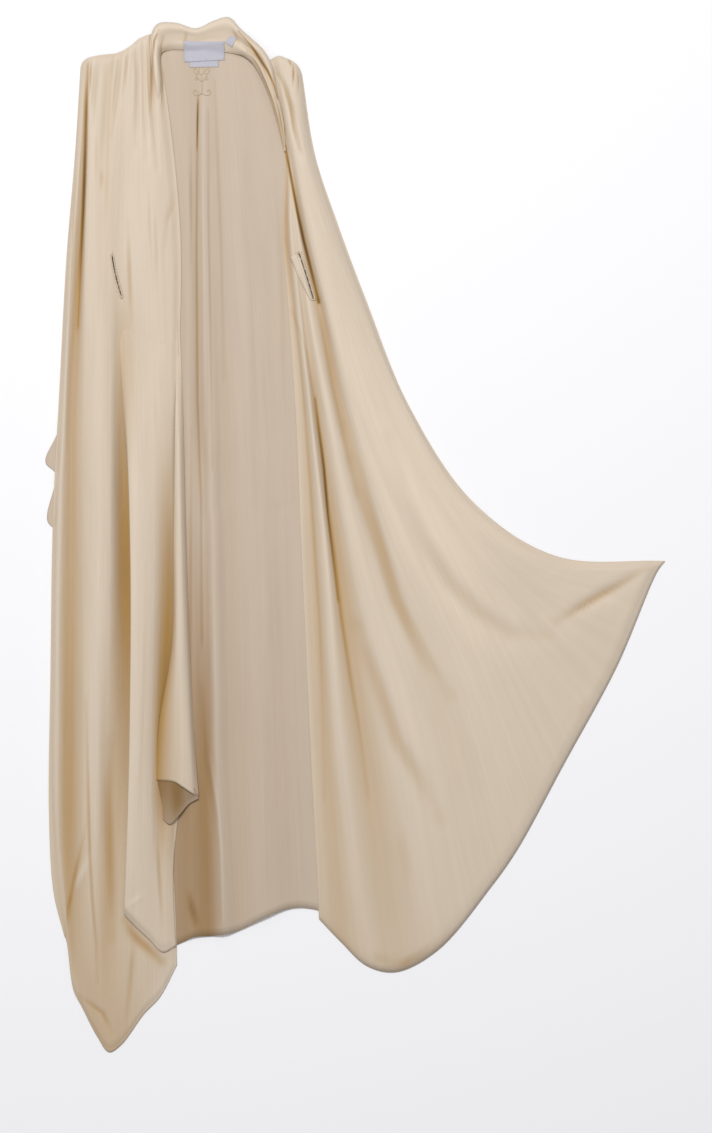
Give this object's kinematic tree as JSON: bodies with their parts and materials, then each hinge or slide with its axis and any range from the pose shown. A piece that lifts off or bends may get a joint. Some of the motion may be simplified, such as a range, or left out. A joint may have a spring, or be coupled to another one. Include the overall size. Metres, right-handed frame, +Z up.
{
  "type": "cape kaftan, laid open",
  "caption": "Floor-length open cape kaftan in ivory satin, laid on its back: one front gathered in long folds, the other spread out as a wing, with a rolled collar band and bound hand slits.",
  "frame": {"origin": "on the surface that the kaftan lies on, under the middle of its outline", "axes": "+Y from the hem to the collar, +Z up from the surface, +X towards the wearer's left wing"},
  "size_m": [0.9904, 1.6544, 0.0322],
  "materials": {
    "satin": "satin, smooth side out",
    "satin_wrong_side": "the satin's matt wrong side",
    "collar_satin": "satin, rolled double",
    "binding": "bound and stitched satin",
    "label_ribbon": "woven ribbon"
  },
  "bodies": {
    "root": {"back_panel": "satin_wrong_side", "right_front": "satin", "left_front": "satin", "collar_band": "collar_satin", "right_slit_binding": "binding", "left_slit_binding": "binding", "neck_label": "label_ribbon", "care_label": "label_ribbon", "size_tab": "label_ribbon"}
  },
  "joints": []
}
